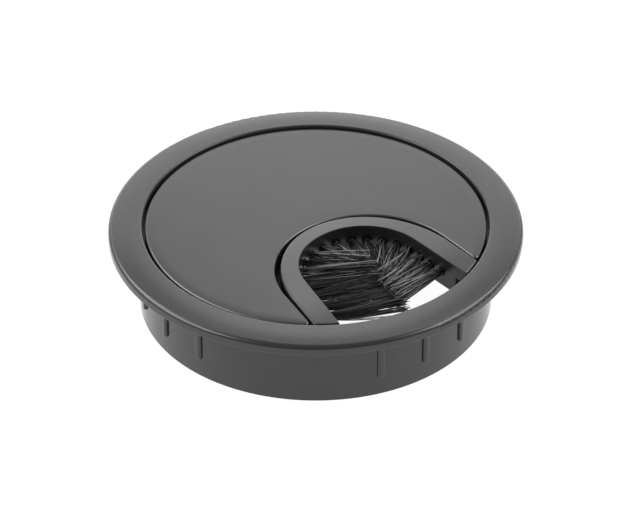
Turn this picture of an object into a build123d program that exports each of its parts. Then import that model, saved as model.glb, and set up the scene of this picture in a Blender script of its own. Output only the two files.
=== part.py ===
from build123d import *
import os
from math import atan, cos, degrees, pi, radians, sin, sqrt, tan

os.makedirs("parts", exist_ok=True)

# Cable grommet for a round hole in a desk, with a brush-lined outlet in its lid.
# Millimetres. Z = 0 is the underside of the flange, where it lies on the desk. The outlet opens towards -Y.

# Driving dimensions of the sleeve and its flange
desk_hole = 80.0
flange_diameter = 92.0
flange_edge = 2.25
flange_rise = 0.75
flange_crown = 0.19
rim_round = 1.1
recess_round = 0.5
edge_round = 0.25
sleeve_length = 17.0
sleeve_wall = 1.8
rib_height = 0.65
rib_width = 1.6
rib_length = 12.5
rib_round = 0.5
rib_root = 0.5
rib_pitch = 16.35
rib_turn = -132.5
rib_spread = 46.9

# Recess for the lid, and the ledge in it
recess_step = 0.85
recess_depth = 3.4
ledge_width = 1.55
ledge_thickness = 1.25

# Lid, its cut-out and its snaps
lid_gap = 0.6
lid_sink = 0.3
lid_thickness = 1.4
lid_rim = 1.2
lid_crown = 0.2
lid_crown_width = 2.5
lid_round = 0.5
lid_corner = 0.8
side_play = 0.2
apex_play = 0.3
play_taper = 1.1
cut_offset = 0.15
# Slopes of the lid's top towards its cut-out: how wide each is, and its angle
cut_slopes = ((3.0, 1.2), (1.8, 2.8), (1.0, 5.0))
# Snap fingers and lugs
snap_thickness = 1.2
snap_depth = 1.4
snap_play = 0.2
snap_room = 0.3
finger_reach = 0.7
finger_arc = 10.0
finger_angles = (15.0, 90.0, 165.0)
lug_reach = 1.1
lug_room = 0.1
lug_arc = 14.0
lug_angles = (30.0, 90.0, 150.0)

# Brush holder: a U-shaped bar whose top is the lip in the lid
holder_shift = 0.55
holder_height = 7.35
lip_gap = 0.35
lip_round = 0.5
wall_round = 0.2
outer_centre = 24.7
outer_width = 20.55
outer_length = 24.05
outer_spread = 6.3
side_thickness = 6.05
apex_thickness = 3.9
wall_spread = 7.4
bar_end_gap = 1.2
shoulder_width = 2.0
shoulder_reach = 3.0
shoulder_thickness = 1.4

# Bristle tufts and the wire anchors that hold them
tuft_count = 18
tuft_end_gap = 4.757
tuft_drop = 3.7
hole_radius = 1.1
hole_floor = 0.9
plug_room = 0.05
plug_stand = 0.15
anchor_thickness = 0.3
anchor_height = 1.2
anchor_room = 0.15
filament_radius = 0.15
filament_edge = 0.1
filament_counts = (1, 5, 9)
droop_levels = (4.0, 15.0, 26.0)
arm_fan = 0.05
left_overreach = 3.48
right_shortfall = 0.58
round_shortfall = 2.465

# Sizes that follow
flange_radius = flange_diameter / 2
flange_top = flange_edge + flange_rise
sleeve_radius = desk_hole / 2 - rib_height
bore_radius = sleeve_radius - sleeve_wall
recess_radius = sleeve_radius - recess_step
ledge_top = flange_top - recess_depth
ledge_bottom = ledge_top - ledge_thickness
ledge_radius = bore_radius - ledge_width
lid_radius = recess_radius - lid_gap
lid_top = flange_top - lid_sink
lid_under = lid_top - lid_thickness
crown_start = lid_radius - lid_crown_width
holder_top = lid_top
bar_bottom = holder_top - holder_height
bar_end_radius = ledge_radius - bar_end_gap
lip_end_radius = recess_radius - lip_gap
shoulder_bottom = ledge_top - shoulder_thickness
outer_apex = outer_length - outer_centre
shoulder_radius = outer_width + shoulder_width
shoulder_centre = shoulder_radius - outer_apex - shoulder_reach
cut_radius = outer_width + side_play
cut_centre = cut_radius - outer_apex - apex_play
cut_shift = holder_shift - cut_offset
cut_spread = outer_spread - play_taper
wall_radius = outer_width - side_thickness
wall_centre = wall_radius - outer_apex + apex_thickness
wall_turn = radians(wall_spread)
arm_x = wall_radius * cos(wall_turn)
arm_y = wall_radius * sin(wall_turn) - wall_centre
arm_foot = arm_x * sin(wall_turn) - arm_y * cos(wall_turn)
arm_length = sqrt(bar_end_radius**2 - arm_x**2 - arm_y**2 + arm_foot**2) - arm_foot
tufted_arm = arm_length - tuft_end_gap
hole_depth = apex_thickness - hole_floor
tuft_level = holder_top - tuft_drop
plug_radius = hole_radius - plug_room
outer_ring = plug_radius - filament_radius - filament_edge
left_reach = wall_radius + left_overreach
right_reach = wall_radius - right_shortfall
round_reach = wall_radius - round_shortfall
round_length = wall_radius * (pi - 2 * wall_turn)
tufted_length = 2 * tufted_arm + round_length
tuft_pitch = tufted_length / (tuft_count - 1)


def u_shape(centre, width, length, spread):
    """A U with half an oval about Y = -centre as its round end, and two arms that spread by an angle."""
    turn = atan(length / width * tan(radians(spread)))
    side_x = width * cos(turn)
    side_y = length * sin(turn) - centre
    arm_x = side_x + (side_y + flange_radius) * tan(radians(spread))
    with BuildSketch() as outline:
        with BuildLine():
            if width == length:
                ThreePointArc((-side_x, side_y), (0, length - centre), (side_x, side_y))
            else:
                sweep = degrees(pi - 2 * turn)
                EllipticalCenterArc((0, -centre), width, length, degrees(turn), arc_size=sweep)
            Polyline((side_x, side_y), (arm_x, -flange_radius), (-arm_x, -flange_radius), (-side_x, side_y))
        make_face()
    return outline.sketch


def cut_outline(margin):
    """The lid's cut-out, with a margin round it."""
    radius = cut_radius + margin
    return Pos(cut_shift, 0) * u_shape(cut_centre, radius, radius, cut_spread)


def upright(angle, centre=0.0):
    """A vertical plane through the axis at Y = -centre, with its X pointing outwards at an angle."""
    a = radians(angle)
    return Plane(origin=(0, -centre, 0), x_dir=(cos(a), sin(a), 0), z_dir=(sin(a), -cos(a), 0))


def is_lid_edge(edge):
    """Whether an edge of the lid's top bounds it, and isn't the smooth line where its crown starts."""
    return edge.geom_type != GeomType.CIRCLE or abs(edge.radius - crown_start) > lid_round


def tuft_plane(number):
    """A plane on the holder's inner wall at one tuft's hole, facing into the outlet, with its Y upwards."""
    along = number * tuft_pitch
    turn = min(max(along - tufted_arm, 0), round_length) / wall_radius
    facing = -wall_turn - turn
    down_arm = max(tufted_arm - along, along - tufted_arm - round_length, 0)
    side = -1 if along < tufted_arm else 1
    x = holder_shift - wall_radius * cos(facing) + side * down_arm * sin(wall_turn)
    y = -wall_centre - wall_radius * sin(facing) - down_arm * cos(wall_turn)
    normal = (cos(facing), sin(facing), 0)
    return Plane(origin=(x, y, tuft_level), x_dir=(-sin(facing), cos(facing), 0), z_dir=normal)


def tuft_lie(number):
    """A tuft's length, its droop in degrees, and how much its bristles fan out for each mm off its middle."""
    along = number * tuft_pitch
    if along <= tufted_arm:
        return left_reach, droop_levels[1], arm_fan
    if along >= tufted_length - tufted_arm:
        return right_reach, droop_levels[0], arm_fan
    return round_reach, droop_levels[number % len(droop_levels)], 0.0


# Crush rib, on the +X side of the sleeve
with BuildPart() as rib:
    with BuildSketch(Plane.YZ.offset(sleeve_radius - rib_root)):
        Rectangle(rib_width, rib_length - rib_width / 2, align=(Align.CENTER, Align.MAX))
        with Locations((0, rib_width / 2 - rib_length)):
            Circle(rib_width / 2)
    extrude(amount=rib_root + rib_height)
    crest = rib.faces().sort_by(Axis.X)[-1]
    fillet(crest.edges().sort_by(Axis.Z)[:-1], rib_round)

# Sleeve with its flange, its ledge and the crush ribs
with BuildPart() as sleeve:
    with BuildSketch(Plane.XZ) as section:
        with BuildLine():
            Polyline(
                (recess_radius, flange_top),
                (recess_radius, ledge_top),
                (ledge_radius, ledge_top),
                (ledge_radius, ledge_bottom),
                (bore_radius, ledge_bottom),
                (bore_radius, -sleeve_length),
                (sleeve_radius, -sleeve_length),
                (sleeve_radius, 0),
                (flange_radius, 0),
                (flange_radius, flange_edge),
            )
            ThreePointArc(
                (flange_radius, flange_edge),
                ((flange_radius + recess_radius) / 2, flange_edge + flange_rise / 2 + flange_crown),
                (recess_radius, flange_top),
            )
        make_face()
        fillet(section.vertices().group_by(Axis.X)[-1].sort_by(Axis.Y)[-1], rim_round)
        fillet(section.vertices().group_by(Axis.X)[-1].sort_by(Axis.Y)[0], edge_round)
        fillet(section.vertices().group_by(Axis.Y)[0], edge_round)
        fillet(section.vertices().sort_by(Axis.Y)[-1], recess_round)
    revolve(axis=Axis.Z)
    for group_angle in (-rib_spread, rib_spread, 180 - rib_spread, 180 + rib_spread):
        for step in (-1, 0, 1):
            with PolarLocations(0, 1, start_angle=rib_turn + group_angle + step * rib_pitch):
                add(rib.part)
sleeve.part.label = "sleeve"
export_step(sleeve.part, "parts/sleeve.step")

# Lid with its U cut-out, a rim below its edge, three snap fingers for the ledge and three lugs for the shoulder
with BuildPart() as lid:
    with BuildSketch(Plane.XY.offset(ledge_top)) as plate:
        Circle(lid_radius)
        add(cut_outline(0), mode=Mode.SUBTRACT)
        fillet(plate.vertices().sort_by(Axis.Y)[:2], lid_corner)
    extrude(amount=lid_top - ledge_top)
    with BuildSketch(upright(-90)):
        with BuildLine():
            Polyline(
                (crown_start, lid_top),
                (0, lid_top),
                (0, ledge_top),
                (lid_radius, ledge_top),
                (lid_radius, lid_top - lid_crown),
            )
            TangentArc((crown_start, lid_top), (lid_radius, lid_top - lid_crown), tangent=(1, 0))
        make_face()
    revolve(axis=Axis.Z, mode=Mode.INTERSECT)
    crowned_faces = lid.faces().sort_by(Axis.Z)[-2:]
    fillet(crowned_faces.edges().filter_by(is_lid_edge), lid_round)
    for width, angle in cut_slopes:
        drop = width * tan(radians(angle))
        with BuildSketch(Plane.XY.offset(lid_top - drop)) as low_outline:
            add(cut_outline(0))
        with BuildSketch(Plane.XY.offset(lid_top + drop)) as high_outline:
            add(cut_outline(2 * width))
        loft([low_outline.sketch, high_outline.sketch], ruled=True, mode=Mode.SUBTRACT)
    with BuildSketch(Plane.XY.offset(ledge_top)):
        Circle(lid_radius - lid_rim)
        add(cut_outline(lid_rim), mode=Mode.SUBTRACT)
    extrude(amount=lid_under - ledge_top, mode=Mode.SUBTRACT)
    finger_face = ledge_radius - snap_room
    finger_hook = ledge_bottom - snap_play
    for angle in finger_angles:
        with BuildSketch(upright(angle - finger_arc / 2)):
            with BuildLine():
                Polyline(
                    (finger_face - snap_thickness, lid_under),
                    (finger_face, lid_under),
                    (finger_face, finger_hook),
                    (finger_face + finger_reach, finger_hook),
                    (finger_face, finger_hook - snap_depth),
                    (finger_face - snap_thickness, finger_hook - snap_depth),
                    close=True,
                )
            make_face()
        revolve(axis=Axis.Z, revolution_arc=finger_arc)
    lug_face = shoulder_radius + holder_shift + lug_room
    for angle in lug_angles:
        with BuildSketch(upright(angle - lug_arc / 2, shoulder_centre)):
            with BuildLine():
                Polyline(
                    (lug_face + snap_thickness, lid_under),
                    (lug_face, lid_under),
                    (lug_face, shoulder_bottom),
                    (lug_face - lug_reach, shoulder_bottom),
                    (lug_face, shoulder_bottom - snap_depth),
                    (lug_face + snap_thickness, shoulder_bottom - snap_depth),
                    close=True,
                )
            make_face()
        revolve(axis=Axis((0, -shoulder_centre, 0), (0, 0, 1)), revolution_arc=lug_arc)
lid.part.label = "lid"
export_step(lid.part, "parts/lid.step")

# Brush holder: the bar, the ends of its lip over the ledge, its shoulder and the tuft holes
with BuildPart() as brush_holder:
    lip_outline = u_shape(outer_centre, outer_width, outer_length, outer_spread)
    shoulder_outline = u_shape(shoulder_centre, shoulder_radius, shoulder_radius, outer_spread)
    for bottom, top, outline, end_radius in (
        (bar_bottom, holder_top, lip_outline, bar_end_radius),
        (ledge_top, holder_top, lip_outline, lip_end_radius),
        (shoulder_bottom, ledge_top, shoulder_outline, bar_end_radius),
    ):
        with BuildSketch(Plane((holder_shift, 0, bottom))):
            add(outline)
            with Locations((-holder_shift, 0)):
                Circle(end_radius, mode=Mode.INTERSECT)
        extrude(amount=top - bottom)
    fillet(brush_holder.faces().sort_by(Axis.Z)[-1].edges(), lip_round)
    with BuildSketch(Plane((holder_shift, 0, bar_bottom))):
        add(u_shape(wall_centre, wall_radius, wall_radius, wall_spread))
    extrude(amount=holder_height, mode=Mode.SUBTRACT)
    lip_edges = brush_holder.faces().sort_by(Axis.Z)[-1].edges()
    round_edge, first_arm, second_arm = lip_edges.sort_by_distance((holder_shift, -wall_centre, holder_top))[:3]
    fillet((round_edge, first_arm, second_arm), wall_round)
    for number in range(tuft_count):
        with BuildSketch(tuft_plane(number).offset(-hole_depth)):
            Circle(hole_radius)
        extrude(amount=2 * hole_depth, mode=Mode.SUBTRACT)
brush_holder.part.label = "brush_holder"
export_step(brush_holder.part, "parts/brush_holder.step")

# Wire anchors, one across the bottom of each hole
with BuildPart() as tuft_anchors:
    for number in range(tuft_count):
        with BuildSketch(tuft_plane(number).offset(-hole_depth)):
            Rectangle(anchor_thickness, 2 * (plug_radius - anchor_room))
        extrude(amount=anchor_height)
tuft_anchors.part.label = "tuft_anchors"
export_step(tuft_anchors.part, "parts/tuft_anchors.step")

# Tufts: the folded root that fills the hole, and the bristles that droop from it
for number in range(tuft_count):
    wall = tuft_plane(number)
    reach, droop, fan = tuft_lie(number)
    lie = wall.z_dir * cos(radians(droop)) - wall.y_dir * sin(radians(droop))
    with BuildPart() as tuft:
        with BuildSketch(wall.offset(-hole_depth)):
            Circle(plug_radius)
        extrude(amount=hole_depth + plug_stand)
        with BuildSketch(wall.offset(-hole_depth)):
            Rectangle(anchor_thickness, 2 * hole_radius)
        extrude(amount=anchor_height, mode=Mode.SUBTRACT)
        for ring, ring_count in enumerate(filament_counts):
            ring_radius = outer_ring * ring / (len(filament_counts) - 1)
            for place in range(ring_count):
                turn = 2 * pi * place / ring_count
                off_middle = ring_radius * (wall.x_dir * cos(turn) + wall.y_dir * sin(turn))
                with BuildSketch(Plane(origin=wall.origin + off_middle, z_dir=lie + off_middle * fan)):
                    RegularPolygon(filament_radius, 6)
                extrude(amount=reach)
    name = f"tuft_{number + 1:02d}"
    tuft.part.label = name
    export_step(tuft.part, f"parts/{name}.step")
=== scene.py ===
import bpy
import random
from math import cos, pi, radians, sin, sqrt
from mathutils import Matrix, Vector


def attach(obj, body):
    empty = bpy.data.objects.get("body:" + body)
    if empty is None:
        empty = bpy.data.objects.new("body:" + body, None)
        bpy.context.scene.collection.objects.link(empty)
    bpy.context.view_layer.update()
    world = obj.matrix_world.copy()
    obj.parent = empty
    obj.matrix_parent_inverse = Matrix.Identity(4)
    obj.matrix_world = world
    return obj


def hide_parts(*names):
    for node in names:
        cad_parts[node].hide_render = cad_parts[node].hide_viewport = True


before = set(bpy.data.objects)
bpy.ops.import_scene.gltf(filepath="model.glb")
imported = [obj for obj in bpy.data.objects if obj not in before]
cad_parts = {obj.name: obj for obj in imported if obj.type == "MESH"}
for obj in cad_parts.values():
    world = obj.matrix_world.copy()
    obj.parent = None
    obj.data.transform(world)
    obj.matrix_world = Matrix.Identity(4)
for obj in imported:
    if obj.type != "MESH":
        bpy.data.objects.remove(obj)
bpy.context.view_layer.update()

# Sizes in metres, in the part's own frame
MM = 0.001
UP = Vector((0, 0, 1))
FLOOR_Z = -17.0 * MM
WALL_CENTRE = 19.05 * MM
WALL_RADIUS = 14.5 * MM
WALL_SPREAD = radians(7.4)
HOLDER_SHIFT = 0.55 * MM
TUFT_LEVEL = -1.0 * MM
TUFTED_ARM = 9.0 * MM
TUFT_COUNT = 18
ROUND_LENGTH = WALL_RADIUS * (pi - 2 * WALL_SPREAD)
TUFT_PITCH = (2 * TUFTED_ARM + ROUND_LENGTH) / (TUFT_COUNT - 1)

# Camera, as it stands to the photograph's frame
IMAGE_WIDTH = 635
IMAGE_HEIGHT = 505
AIM_PIXEL = (315.73, 224.44)
AIM_POINT = Vector((0, 0, 2.25 * MM))
CAMERA_DISTANCE = 968.4 * MM
CAMERA_AZIMUTH = radians(-122.9)
CAMERA_ELEVATION = radians(34.9)
PIXELS_PER_MM = 4.5116
SENSOR_WIDTH = 36.0
CLIP_START = 50 * MM


def towards(azimuth, elevation):
    """A unit vector at an azimuth and an elevation, in radians."""
    return Vector((cos(elevation) * cos(azimuth), cos(elevation) * sin(azimuth), sin(elevation)))


# Materials
PLASTIC_IOR = 1.7
LIP_IOR = 1.82
GREY = ((0.022, 0.022, 0.023), (0.027, 0.027, 0.028))
LID_GREY = ((0.019, 0.019, 0.02), (0.024, 0.024, 0.025))
LIP_GREY = ((0.013, 0.013, 0.014), (0.016, 0.016, 0.017))
# Bristle colours run from black nylon to a light grey that is painted sheen
BRISTLE_BLACK_TO_SHEEN = ((0.003, 0.003, 0.003), (0.38, 0.38, 0.38))
WIRE_GREY = ((0.45, 0.45, 0.44), (0.62, 0.62, 0.6))
CLOUD_SIZE = 9 * MM
STREAK_SIZE = 0.6 * MM
SCRATCH_SIZE = 0.2 * MM
GRAIN_DEPTH = 0.02 * MM
# The part of a noise's range that most of it lies in
NOISE_MIDDLE = (0.3, 0.7)
# How far a surface faces up: on a rounded edge and on a flat face, then on a side and on a slope
EDGE_TO_FACE = (0.85, 0.97)
SIDE_TO_SLOPE = (0.1, 0.6)
FACE_GLOSS = 0.5
BRISTLE_GLOSS = 0.3
# The share of its gloss that a plastic keeps where shade is painted: on a low ledge and in the groove round
# the lid
LEDGE_SHADE_SHARE = 0.05
GROOVE_SHADE_SHARE = 0.3
# A dome is given by its middle and, by axis, by one over its radius
ORIGIN = (0, 0, 0)
FLAT = (0, 0, 0)
LID_CURVE = (1.7, 1.7, 0)
LIP_MIDDLE = (0, -16 * MM, 0)
LIP_CURVE = (0, 10.5, 0)


def new_material(name):
    """An empty node material, with its tree, its shader and its object coordinates."""
    material = bpy.data.materials.new(name)
    material.use_nodes = True
    tree = material.node_tree
    shader = tree.nodes["Principled BSDF"]
    place = tree.nodes.new("ShaderNodeTexCoord")
    return material, tree, shader, place.outputs["Object"]


def add_noise(tree, place, size, detail):
    """Noise whose lumps are about as large as size, in metres."""
    noise = tree.nodes.new("ShaderNodeTexNoise")
    noise.inputs["Scale"].default_value = 1 / size
    noise.inputs["Detail"].default_value = detail
    tree.links.new(place, noise.inputs["Vector"])
    return noise.outputs["Fac"]


def map_range(tree, value, low, high, first, last):
    """Maps a value between low and high onto first to last, and no further."""
    ranged = tree.nodes.new("ShaderNodeMapRange")
    ranged.inputs["From Min"].default_value = low
    ranged.inputs["From Max"].default_value = high
    ranged.inputs["To Min"].default_value = first
    ranged.inputs["To Max"].default_value = last
    tree.links.new(value, ranged.inputs["Value"])
    return ranged.outputs["Result"]


def spread_over(tree, noise, low, high):
    """Maps the middle of a noise's range onto low to high."""
    return map_range(tree, noise, *NOISE_MIDDLE, low, high)


def mix_colours(tree, factor, first, second):
    """A colour between two, by a factor."""
    mix = tree.nodes.new("ShaderNodeMix")
    mix.data_type = "RGBA"
    mix.inputs["A"].default_value = (*first, 1)
    mix.inputs["B"].default_value = (*second, 1)
    tree.links.new(factor, mix.inputs["Factor"])
    return mix.outputs["Result"]


def combine(tree, operation, first, second):
    """Two values joined by a sum of the given kind."""
    sum_node = tree.nodes.new("ShaderNodeMath")
    sum_node.operation = operation
    tree.links.new(first, sum_node.inputs[0])
    tree.links.new(second, sum_node.inputs[1])
    return sum_node.outputs["Value"]


def change_vector(tree, operation, vector, fixed):
    """A vector changed by a fixed one."""
    change = tree.nodes.new("ShaderNodeVectorMath")
    change.operation = operation
    change.inputs[1].default_value = fixed
    tree.links.new(vector, change.inputs[0])
    return change.outputs["Vector"]


def add_dome(tree, place, middle, curve):
    """The height of a faint dome about a point, as moulded covers have."""
    offset = change_vector(tree, "SUBTRACT", place, middle)
    slope = change_vector(tree, "MULTIPLY", offset, [-bend / 2 for bend in curve])
    height = tree.nodes.new("ShaderNodeVectorMath")
    height.operation = "DOT_PRODUCT"
    tree.links.new(offset, height.inputs[0])
    tree.links.new(slope, height.inputs[1])
    return height.outputs["Value"]


def add_bump(tree, height, strength, distance):
    """A bump from a height."""
    bump = tree.nodes.new("ShaderNodeBump")
    bump.inputs["Strength"].default_value = strength
    bump.inputs["Distance"].default_value = distance
    tree.links.new(height, bump.inputs["Height"])
    return bump


def moulded_plastic(name, colours, ior, roughness, grain, relief, middle=ORIGIN, curve=FLAT):
    """Moulded plastic with a fine sparked grain, a faint cloudiness and a faint dome."""
    material, tree, shader, place = new_material(name)
    cloud = add_noise(tree, place, CLOUD_SIZE, detail=3)
    fine = add_noise(tree, place, grain, detail=2)
    colour = mix_colours(tree, spread_over(tree, cloud, 0, 1), *colours)
    tree.links.new(colour, shader.inputs["Base Color"])
    tree.links.new(spread_over(tree, fine, *roughness), shader.inputs["Roughness"])
    shader.inputs["IOR"].default_value = ior
    dome = add_bump(tree, add_dome(tree, place, middle, curve), strength=1, distance=1)
    relief_bump = add_bump(tree, fine, relief, GRAIN_DEPTH)
    tree.links.new(dome.outputs["Normal"], relief_bump.inputs["Normal"])
    tree.links.new(relief_bump.outputs["Normal"], shader.inputs["Normal"])
    return material


def up_part(tree, output):
    """The upward part of a surface's coordinates of the given kind, such as its normal."""
    place = tree.nodes.new("ShaderNodeTexCoord")
    split = tree.nodes.new("ShaderNodeSeparateXYZ")
    tree.links.new(place.outputs[output], split.inputs[0])
    return split.outputs["Z"]


def scale_input(material, name, share):
    """Multiplies what is linked to one of a plastic's inputs by a share."""
    tree = material.node_tree
    socket = tree.nodes["Principled BSDF"].inputs[name]
    tree.links.new(combine(tree, "MULTIPLY", socket.links[0].from_socket, share), socket)


def smooth_sides(material, share):
    """Makes a plastic's upright sides smoother than its faces, by a share of its roughness."""
    tree = material.node_tree
    kept = map_range(tree, up_part(tree, "Normal"), *SIDE_TO_SLOPE, share, 1)
    scale_input(material, "Roughness", kept)


def gloss_by_slope(material, edge):
    """Gives a plastic's rounded edges and sides a gloss of their own, unlike its flat faces."""
    tree = material.node_tree
    gloss = map_range(tree, up_part(tree, "Normal"), *EDGE_TO_FACE, edge, FACE_GLOSS)
    tree.links.new(gloss, tree.nodes["Principled BSDF"].inputs["Specular IOR Level"])


def shade_low_ledges(material, low, high):
    """Painted shade: takes the gloss off a plastic's level faces below a height, where shade falls deep in
    the outlet; sides keep their gloss.
    """
    tree = material.node_tree
    height = map_range(tree, up_part(tree, "Object"), low, high, LEDGE_SHADE_SHARE, 1)
    slope = map_range(tree, up_part(tree, "Normal"), 0, 1, 1, 0)
    scale_input(material, "Specular IOR Level", combine(tree, "MAXIMUM", height, slope))


def shade_groove(material, low, high):
    """Painted shade: takes part of a plastic's gloss off within a radius about the part's axis, so that the
    groove round the lid reads as lying in shade.
    """
    tree = material.node_tree
    place = tree.nodes.new("ShaderNodeTexCoord")
    radius = tree.nodes.new("ShaderNodeVectorMath")
    radius.operation = "LENGTH"
    tree.links.new(change_vector(tree, "MULTIPLY", place.outputs["Object"], (1, 1, 0)), radius.inputs[0])
    kept = map_range(tree, radius.outputs["Value"], low, high, GROOVE_SHADE_SHARE, 1)
    scale_input(material, "Specular IOR Level", kept)


def nylon_bristle(name, roughness):
    """Black nylon whose colour differs from strand to strand: which strands are lighter is random, but their
    lightness is painted sheen, and their darker roots are painted shade.
    """
    material, tree, shader, place = new_material(name)
    strand = tree.nodes.new("ShaderNodeAttribute")
    strand.attribute_name = "strand"
    colour = mix_colours(tree, strand.outputs["Fac"], *BRISTLE_BLACK_TO_SHEEN)
    tree.links.new(colour, shader.inputs["Base Color"])
    streak = add_noise(tree, place, STREAK_SIZE, detail=2)
    tree.links.new(spread_over(tree, streak, *roughness), shader.inputs["Roughness"])
    shader.inputs["Specular IOR Level"].default_value = BRISTLE_GLOSS
    return material


def plain_wire(name, roughness):
    """Drawn steel wire with fine scratches."""
    material, tree, shader, place = new_material(name)
    scratch = add_noise(tree, place, SCRATCH_SIZE, detail=4)
    colour = mix_colours(tree, spread_over(tree, scratch, 0, 1), *WIRE_GREY)
    tree.links.new(colour, shader.inputs["Base Color"])
    tree.links.new(spread_over(tree, scratch, *roughness), shader.inputs["Roughness"])
    shader.inputs["Metallic"].default_value = 1
    return material


def dress(node, material):
    """Gives a CAD node's object a material in every slot."""
    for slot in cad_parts[node].material_slots:
        slot.material = material


sleeve_plastic = moulded_plastic(
    "sleeve_plastic", GREY, PLASTIC_IOR, roughness=(0.26, 0.32), grain=0.16 * MM, relief=0.12
)
smooth_sides(sleeve_plastic, share=0.35)
gloss_by_slope(sleeve_plastic, edge=0.42)
# Painted shade in the groove between the lid and the flange
shade_groove(sleeve_plastic, low=38.5 * MM, high=38.7 * MM)
lid_plastic = moulded_plastic(
    "lid_plastic", LID_GREY, PLASTIC_IOR, roughness=(0.34, 0.4), grain=0.2 * MM, relief=0.25, curve=LID_CURVE
)
gloss_by_slope(lid_plastic, edge=0.75)
holder_plastic = moulded_plastic(
    "holder_plastic", LIP_GREY, LIP_IOR, roughness=(0.28, 0.34), grain=0.16 * MM, relief=0.2,
    middle=LIP_MIDDLE, curve=LIP_CURVE
)
gloss_by_slope(holder_plastic, edge=0.22)
# Painted shade: the holder's level faces low in the outlet lose their gloss, as if in shade
shade_low_ledges(holder_plastic, low=1.8 * MM, high=2.3 * MM)
dress("sleeve", sleeve_plastic)
dress("lid", lid_plastic)
dress("brush_holder", holder_plastic)
dress("tuft_anchors", plain_wire("anchor_wire", roughness=(0.25, 0.45)))

# Bristles
STRANDS = 130
STRAND_RADIUS = 0.07 * MM
STRAND_SIDES = 5
STRAND_STEPS = 8
ROOT_DEPTH = 1.7 * MM
GOLDEN_TURN = pi * (3 - sqrt(5))
# How the tufts lie, by tuft number from the left arm's end: reach in mm, the next three in degrees
TUFT_REACH = (
    (0, 20.0), (2, 20.6), (4, 19.3), (6, 15.0), (8, 11.0), (10, 9.6), (12, 10.6), (15, 13.0), (17, 13.4)
)
TUFT_DROOP = ((0, 7), (4, 4), (8, 3), (9, 6), (13, 7), (17, 4))
TUFT_SWEEP = (
    (0, 0.5), (2, 1), (3, 4), (5, 18), (7, 25), (8, 20), (10, 16), (12, 7), (14, 13), (15, 10), (17, -3)
)
TUFT_SPREAD = ((0, 2.6), (4, 3.2), (7, 4.5), (10, 5), (12, 7.5), (15, 7), (17, 3.5))
# How wide a tuft is at its root, from its middle, in mm
TUFT_WIDTH = ((0, 0.9), (4, 0.9), (6, 0.72), (17, 0.72))
# How far a tuft bows sideways, in mm
TUFT_BOW = ((0, -0.8), (2, 0), (17, 0))
# Painted sheen: how light a tuft's lightest strands are painted, in place of the light that catches them;
# from 1 on, more of them are as light as can be
TUFT_PAINTED_SHEEN = ((0, 0.2), (3, 0.3), (5, 1.8), (7, 2.4), (10, 0.8), (12, 1.0), (15, 1.9), (17, 2.6))
# The power that keeps most strands dark, so that the painted sheen falls on a few
SHEEN_POWER = 5
# Painted shade and light along a strand: darker at its root, where shade falls in the outlet, lighter at its
# tip, where light catches it
ROOT_PAINTED_SHADE = 0.2
TIP_PAINTED_LIGHT = 2.0
# How far a tuft's outer strands lean outwards, in radians
TUFT_FAN = 0.06
TUFT_SAG = 0.5 * MM
DROOP_SHARE = 0.65
# How a strand's length differs from its tuft's reach
SHORTEST = 0.94
LONGEST = 1.02
STRAND_BOW = 0.35 * MM
# Brings the bow's greatest width, a third of the way along, to one
BOW_SCALE = 27 / 4
draw = random.Random(11)


def tuft_root(number):
    """Where a tuft leaves the holder's wall, the way it faces and the wall's own direction there."""
    along = number * TUFT_PITCH
    turn = min(max(along - TUFTED_ARM, 0), ROUND_LENGTH) / WALL_RADIUS
    angle = -WALL_SPREAD - turn
    down_arm = max(TUFTED_ARM - along, along - TUFTED_ARM - ROUND_LENGTH, 0)
    side = -1 if along < TUFTED_ARM else 1
    x = HOLDER_SHIFT - WALL_RADIUS * cos(angle) + side * down_arm * sin(WALL_SPREAD)
    y = -WALL_CENTRE - WALL_RADIUS * sin(angle) - down_arm * cos(WALL_SPREAD)
    facing = Vector((cos(angle), sin(angle), 0))
    sideways = Vector((-sin(angle), cos(angle), 0))
    return Vector((x, y, TUFT_LEVEL)), facing, sideways


def between(stops, place):
    """The value at a place between stops, each a place and its value."""
    for (first, low), (second, high) in zip(stops, stops[1:]):
        if place <= second:
            return low + (high - low) * (place - first) / (second - first)
    return stops[-1][1]


def strand_path(number, place):
    """The middle line of one strand, from inside its hole to its tip."""
    root, facing, sideways = tuft_root(number)
    turn = GOLDEN_TURN * place
    out = (sideways * cos(turn) + UP * sin(turn)) * sqrt((place + 0.5) / STRANDS)
    start = root + out * between(TUFT_WIDTH, number) * MM
    spread = between(TUFT_SPREAD, number)
    droop = radians(between(TUFT_DROOP, number) + draw.gauss(0, spread * DROOP_SHARE))
    sweep = radians(between(TUFT_SWEEP, number) + draw.gauss(0, spread))
    level = facing * cos(sweep) + sideways * sin(sweep)
    lie = level * cos(droop) - UP * sin(droop)
    lean = out * TUFT_FAN
    reach = between(TUFT_REACH, number) * MM * draw.uniform(SHORTEST, LONGEST)
    bow = sideways * (between(TUFT_BOW, number) * MM + draw.gauss(0, STRAND_BOW))
    sag = UP * TUFT_SAG
    points = [start - facing * ROOT_DEPTH]
    for step in range(STRAND_STEPS + 1):
        share = step / STRAND_STEPS
        aside = bow * share * (1 - share) ** 2 * BOW_SCALE
        points.append(start + (lie + lean) * reach * share + aside - sag * share**2)
    return points


def tube(points, radius, sides):
    """Rings round a line of points, and the faces that close them into a tube."""
    corners = []
    faces = []
    axis = (points[-1] - points[0]).normalized()
    side = axis.cross(UP).normalized()
    up = side.cross(axis)
    for point in points:
        for corner in range(sides):
            turn = 2 * pi * corner / sides
            corners.append(point + radius * (side * cos(turn) + up * sin(turn)))
    last_ring = (len(points) - 1) * sides
    for ring in range(0, last_ring, sides):
        next_ring = ring + sides
        for corner in range(sides):
            after = (corner + 1) % sides
            faces.append((ring + corner, ring + after, next_ring + after, next_ring + corner))
    faces.append(tuple(reversed(range(sides))))
    faces.append(tuple(range(last_ring, last_ring + sides)))
    return corners, faces


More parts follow.
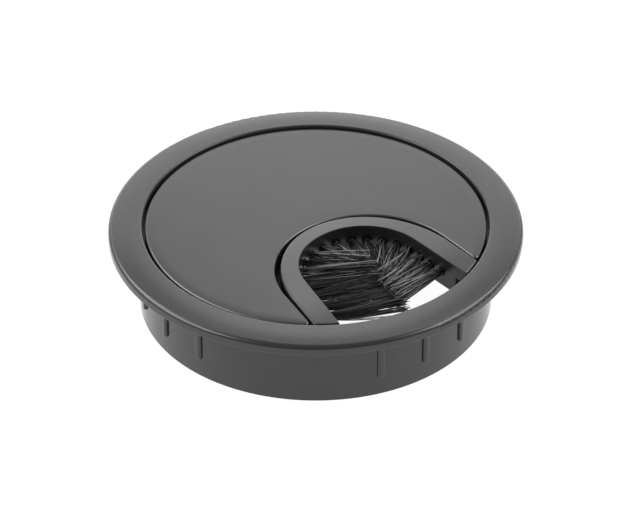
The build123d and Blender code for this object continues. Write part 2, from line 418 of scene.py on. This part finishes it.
def make_tuft(number, material):
    """One tuft's strands as one mesh, in place of the CAD tuft."""
    corners = []
    faces = []
    ring_light_and_shade = []
    for place in range(STRANDS):
        path = strand_path(number, place)
        strand_corners, strand_faces = tube(path, STRAND_RADIUS, STRAND_SIDES)
        first = len(corners)
        corners.extend(strand_corners)
        faces.extend(tuple(first + corner for corner in face) for face in strand_faces)
        # Painted sheen on a few strands, more in some tufts; along each strand painted shade at the root
        # gives way to painted light at the tip
        strand_sheen = between(TUFT_PAINTED_SHEEN, number) * draw.random() ** SHEEN_POWER
        for ring in range(len(path)):
            along = ring / (len(path) - 1)
            ring_light_and_shade.extend([strand_sheen * (ROOT_PAINTED_SHADE + (TIP_PAINTED_LIGHT - ROOT_PAINTED_SHADE) * along)] * STRAND_SIDES)
    name = f"bristles_{number + 1:02d}"
    mesh = bpy.data.meshes.new(name)
    mesh.from_pydata(corners, [], faces)
    mesh.attributes.new("strand", "FLOAT", "POINT").data.foreach_set("value", ring_light_and_shade)
    mesh.shade_smooth()
    mesh.materials.append(material)
    piece = bpy.data.objects.new(name, mesh)
    bpy.context.scene.collection.objects.link(piece)
    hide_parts(f"tuft_{number + 1:02d}")
    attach(piece, "lid_unit")


bristle_material = nylon_bristle("bristle_nylon", roughness=(0.28, 0.42))
for tuft_number in range(TUFT_COUNT):
    make_tuft(tuft_number, bristle_material)

# Floor
FLOOR_SIZE = 6.0
FLOOR_GREY = 0.8
SHADOW_GREY = 0.08
FLOOR_GLOW = 0.97


def matte_paint(tree, grey):
    """A matte grey shader."""
    paint = tree.nodes.new("ShaderNodeBsdfDiffuse")
    paint.inputs["Color"].default_value = (grey, grey, grey, 1)
    return paint.outputs[0]


def white_floor(name):
    """A white ground that keeps a faint shadow, and shows as white to the camera and in reflections."""
    material = bpy.data.materials.new(name)
    material.use_nodes = True
    tree = material.node_tree
    tree.nodes.remove(tree.nodes["Principled BSDF"])
    rays = tree.nodes.new("ShaderNodeLightPath")
    seen = combine(tree, "MAXIMUM", rays.outputs["Is Camera Ray"], rays.outputs["Is Glossy Ray"])
    shown = combine(tree, "MAXIMUM", seen, rays.outputs["Is Transmission Ray"])
    glow = tree.nodes.new("ShaderNodeEmission")
    glow.inputs["Strength"].default_value = FLOOR_GLOW
    both = tree.nodes.new("ShaderNodeAddShader")
    tree.links.new(matte_paint(tree, SHADOW_GREY), both.inputs[0])
    tree.links.new(glow.outputs[0], both.inputs[1])
    mix = tree.nodes.new("ShaderNodeMixShader")
    tree.links.new(shown, mix.inputs["Fac"])
    tree.links.new(matte_paint(tree, FLOOR_GREY), mix.inputs[1])
    tree.links.new(both.outputs[0], mix.inputs[2])
    tree.links.new(mix.outputs[0], tree.nodes["Material Output"].inputs["Surface"])
    return material


bpy.ops.mesh.primitive_plane_add(size=FLOOR_SIZE, location=(0, 0, FLOOR_Z))
floor = bpy.context.object
floor.name = "floor"
floor.data.materials.append(white_floor("floor_white"))

# Light: a dim studio with large soft panels behind and at both sides
WORLD_STRENGTH = 0.2
PANEL_DISTANCE = 0.45
# Name, azimuth and elevation in degrees, width and height in metres, radiance
PANELS = (
    ("back_panel", 90, 26, 0.9, 0.22, 1.11),
    ("low_panel", 91, 7, 0.6, 0.085, 2.7),
    ("high_panel", 90, 48, 0.14, 0.12, 2.3),
    ("left_panel", 186, 37, 0.46, 0.24, 4.8),
    ("left_corner_panel", 147, 36, 0.12, 0.24, 4.0),
    ("right_panel", 0, 37, 0.4, 0.24, 4.8),
    ("right_shoulder_panel", 48, 57, 0.16, 0.14, 2.0),
    ("left_shoulder_panel", 132, 57, 0.14, 0.12, 1.4),
)


def soft_panel(name, azimuth, elevation, width, height, radiance):
    """A flat light of even radiance that faces the part; an azimuth of 90 is behind it in the picture."""
    lamp = bpy.data.lights.new(name, "AREA")
    lamp.shape = "RECTANGLE"
    lamp.size = width
    lamp.size_y = height
    lamp.energy = radiance * pi * width * height
    light = bpy.data.objects.new(name, lamp)
    bpy.context.scene.collection.objects.link(light)
    out = towards(CAMERA_AZIMUTH + radians(90 + azimuth), radians(elevation))
    light.location = out * PANEL_DISTANCE
    light.rotation_euler = out.to_track_quat("Z", "Y").to_euler()


world = bpy.data.worlds.new("studio")
bpy.context.scene.world = world
world.use_nodes = True
background = world.node_tree.nodes["Background"]
background.inputs["Color"].default_value = (1, 1, 1, 1)
background.inputs["Strength"].default_value = WORLD_STRENGTH
for panel in PANELS:
    soft_panel(*panel)

# Camera
camera_data = bpy.data.cameras.new("camera")
camera = bpy.data.objects.new("camera", camera_data)
bpy.context.scene.collection.objects.link(camera)
viewed_from = towards(CAMERA_AZIMUTH, CAMERA_ELEVATION)
camera.location = AIM_POINT + viewed_from * CAMERA_DISTANCE
camera.rotation_euler = viewed_from.to_track_quat("Z", "Y").to_euler()
camera_data.sensor_width = SENSOR_WIDTH
camera_data.sensor_fit = "HORIZONTAL"
camera_data.lens = PIXELS_PER_MM / MM * CAMERA_DISTANCE / IMAGE_WIDTH * SENSOR_WIDTH
camera_data.shift_x = (IMAGE_WIDTH / 2 - AIM_PIXEL[0]) / IMAGE_WIDTH
camera_data.shift_y = (AIM_PIXEL[1] - IMAGE_HEIGHT / 2) / IMAGE_WIDTH
camera_data.clip_start = CLIP_START
bpy.context.scene.camera = camera
bpy.context.scene.view_settings.view_transform = "Standard"
